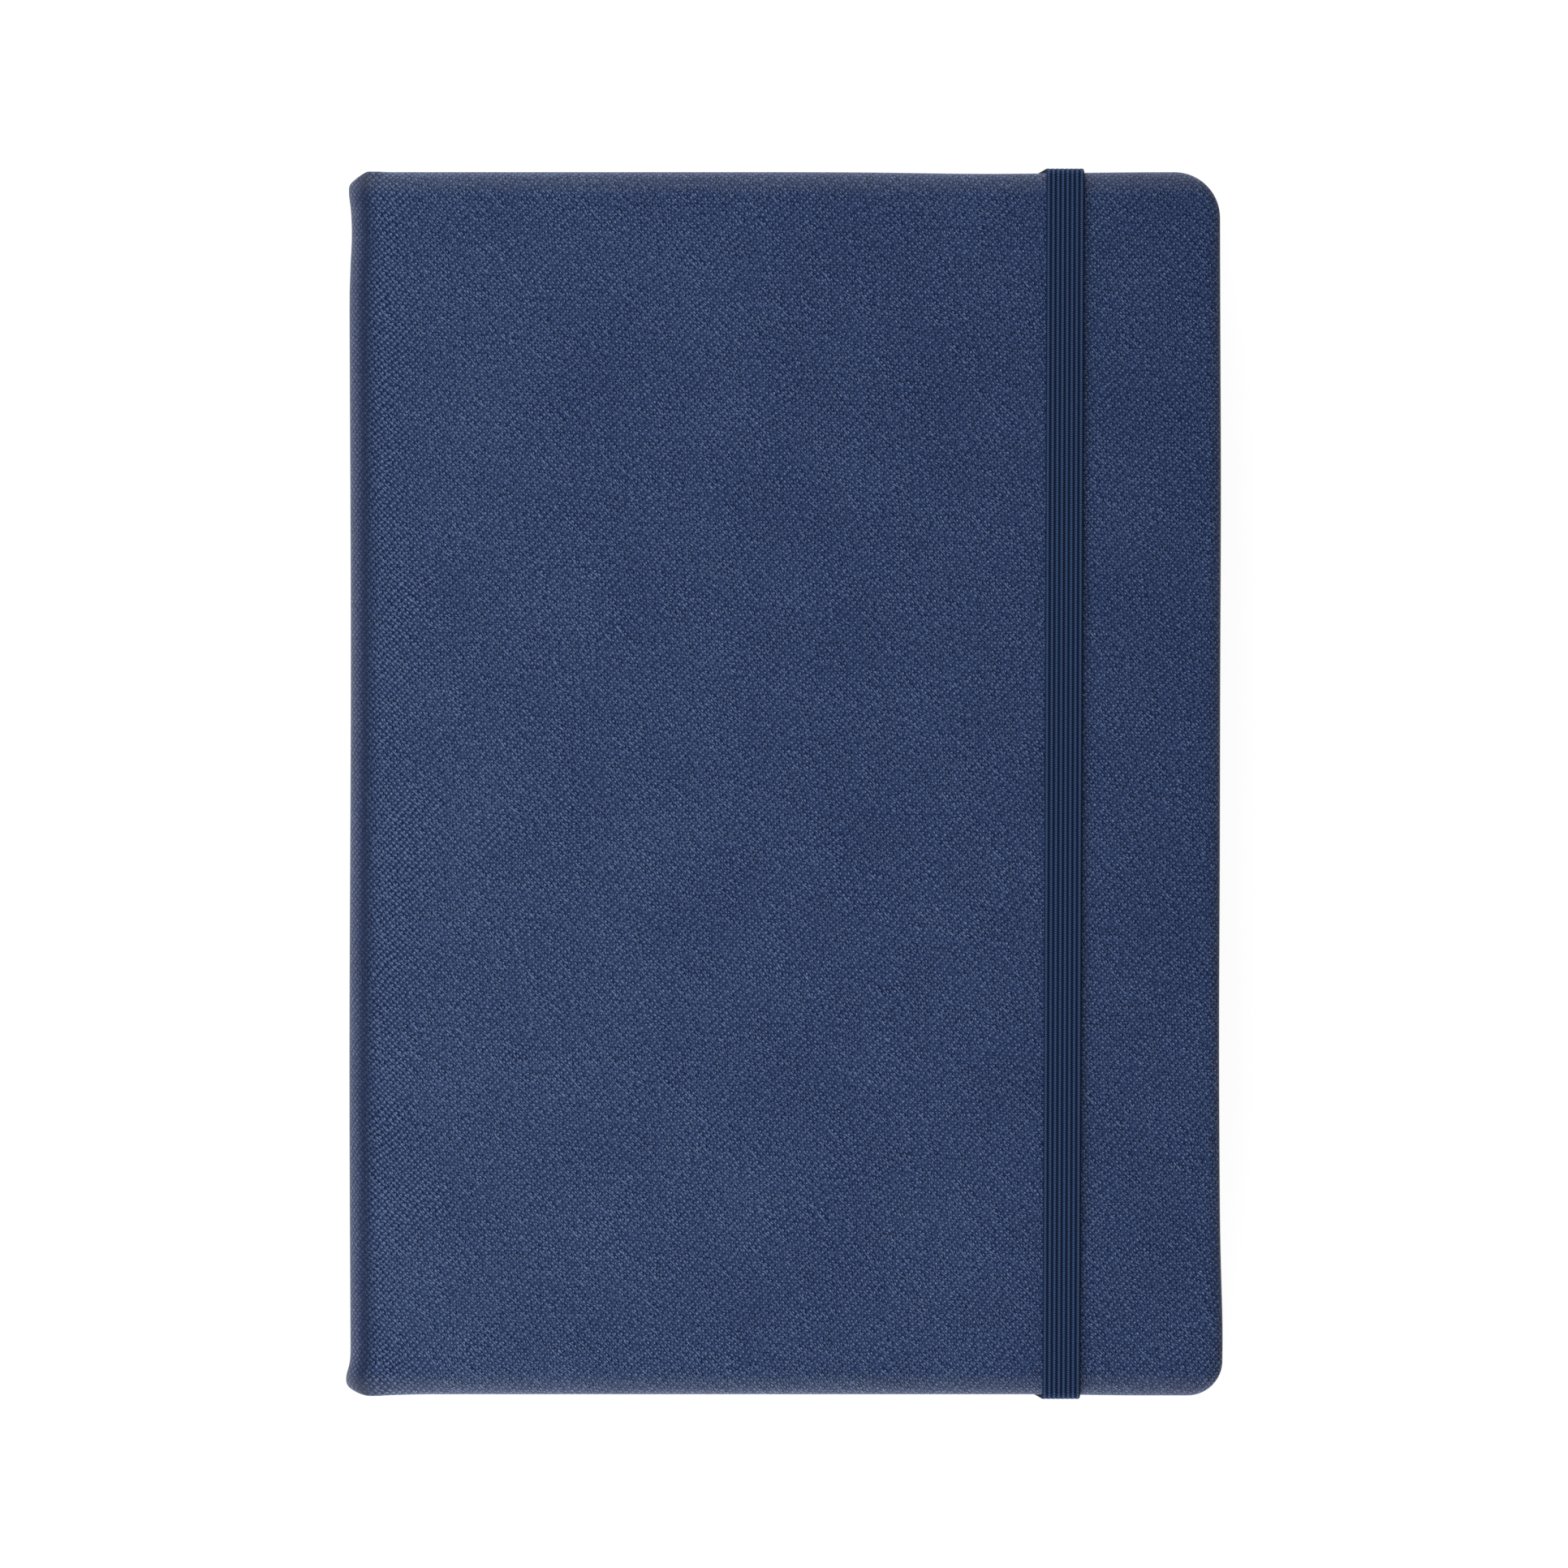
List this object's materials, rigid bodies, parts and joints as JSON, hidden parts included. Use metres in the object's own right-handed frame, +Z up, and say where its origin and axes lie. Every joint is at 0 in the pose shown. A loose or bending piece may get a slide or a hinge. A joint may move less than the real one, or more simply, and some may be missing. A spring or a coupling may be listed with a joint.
{
  "type": "pilot logbook",
  "caption": "Closed A5 case-bound logbook in plain navy cross-grain leatherette, with a sewn text block and a ribbed elastic closure over the front cover.",
  "frame": {"origin": "under the middle of the closed book, on the surface that its rear cover lies on; the middle is that of the whole part, elastic included", "axes": "+X from the spine to the fore-edge, +Y to the head, +Z up out of the front cover"},
  "size_m": [0.1526, 0.2154, 0.0165],
  "materials": {
    "navy_leatherette": "satin",
    "navy_elastic": "matte",
    "grey_board": "matte",
    "page_paper": "matte",
    "endpaper": "matte",
    "lining_cloth": "matte",
    "end_band_cloth": "satin",
    "sewing_thread": "matte"
  },
  "bodies": {
    "rear_case": {"rear_board": "grey_board", "rear_cover_leather": "navy_leatherette", "rear_pastedown": "endpaper", "rear_mull_flap": "lining_cloth", "rear_flyleaf": "endpaper", "rear_spine_lining": "lining_cloth", "rear_headband": "end_band_cloth", "rear_tailband": "end_band_cloth", "rear_sewing_thread": "sewing_thread", "signature_07": "page_paper", "signature_08": "page_paper", "signature_09": "page_paper", "signature_10": "page_paper", "signature_11": "page_paper", "signature_12": "page_paper", "elastic_head_anchor": "navy_elastic", "elastic_tail_anchor": "navy_elastic", "elastic_head_side": "navy_elastic", "elastic_tail_side": "navy_elastic"},
    "front_half": {"front_flyleaf": "endpaper", "front_spine_lining": "lining_cloth", "front_headband": "end_band_cloth", "front_tailband": "end_band_cloth", "front_sewing_thread": "sewing_thread", "signature_01": "page_paper", "signature_02": "page_paper", "signature_03": "page_paper", "signature_04": "page_paper", "signature_05": "page_paper", "signature_06": "page_paper"},
    "spine": {"spine_leather": "navy_leatherette", "spine_card": "grey_board"},
    "front_case": {"front_board": "grey_board", "front_cover_leather": "navy_leatherette", "front_pastedown": "endpaper", "front_mull_flap": "lining_cloth"},
    "elastic_band": {"elastic_front_run": "navy_elastic"}
  },
  "joints": [
    {"name": "book_open", "type": "hinge", "parent": "rear_case", "child": "front_half", "pos_m": [-0.07305, 0, 0.00785], "axis": [0, -1, 0], "range_deg": [0, 180]},
    {"name": "spine_fold", "type": "hinge", "parent": "rear_case", "child": "spine", "pos_m": [-0.0753, 0, 0.00095], "axis": [0, -1, 0], "range_deg": [0, 90]},
    {"name": "front_cover_turn", "type": "hinge", "parent": "spine", "child": "front_case", "pos_m": [-0.0753, 0, 0.01475], "axis": [0, -1, 0], "range_deg": [0, 90]},
    {"name": "elastic_pull_off", "type": "slide", "parent": "rear_case", "child": "elastic_band", "axis": [0.9352, 0, -0.3542], "range_m": [0, 0.0353], "deforming": ["elastic_head_side", "elastic_tail_side", "elastic_front_run"]}
  ],
  "couplings": [
    {"joint": "spine_fold", "follows": "book_open", "ratio": 0.5},
    {"joint": "front_cover_turn", "follows": "book_open", "ratio": 0.5},
    {"joint": "elastic_pull_off", "follows": "book_open", "m_per_rad": 0.01123}
  ]
}
